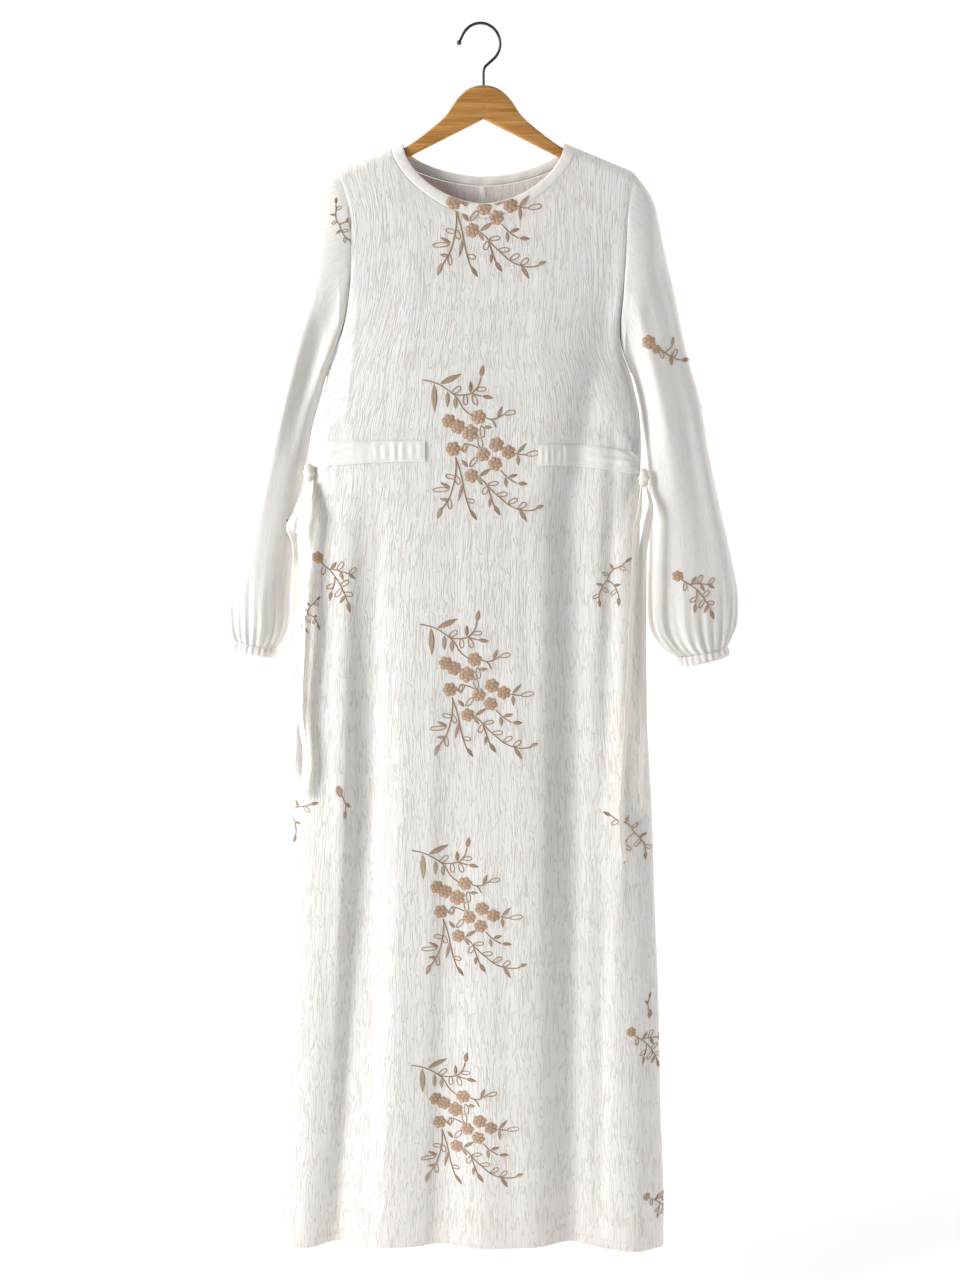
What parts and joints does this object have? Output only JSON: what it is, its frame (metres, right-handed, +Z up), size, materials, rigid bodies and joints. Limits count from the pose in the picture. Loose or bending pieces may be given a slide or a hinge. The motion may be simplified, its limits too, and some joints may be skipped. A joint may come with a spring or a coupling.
{
  "type": "embroidered long dress on a wooden hanger",
  "caption": "Long-sleeved ivory crepe dress with floral embroidery, round neckband, waist bands and side ties, hanging flat on a wooden hanger with a wire hook.",
  "frame": {"origin": "underside of the hook wire above the stem, where a rail holds the hanger", "axes": "+Z up, -Y out of the front of the dress, +X to the right as seen from the front"},
  "size_m": [0.6474, 0.0714, 1.5759],
  "materials": {
    "crepe": "matt crinkled ivory crepe",
    "band_cloth": "smooth ivory cloth with a soft sheen",
    "embroidery": "taupe stitching thread with a silky sheen",
    "hanger_wood": "honey-coloured varnished wood",
    "hook_wire": "dark bent steel wire"
  },
  "bodies": {
    "root": {"front_panel": "crepe", "back_left": "crepe", "back_right": "crepe", "sleeve_left": "crepe", "sleeve_right": "crepe", "cuff_left": "crepe", "cuff_right": "crepe", "neckband_front": "band_cloth", "neckband_back": "band_cloth", "waist_band_left": "band_cloth", "waist_band_right": "band_cloth", "tie_knot_left": "band_cloth", "tie_knot_right": "band_cloth", "tie_left_outer": "band_cloth", "tie_left_inner": "band_cloth", "tie_right_inner": "band_cloth", "tie_right_outer": "band_cloth", "hanger_wood": "hanger_wood", "hanger_hook": "hook_wire"}
  },
  "joints": []
}
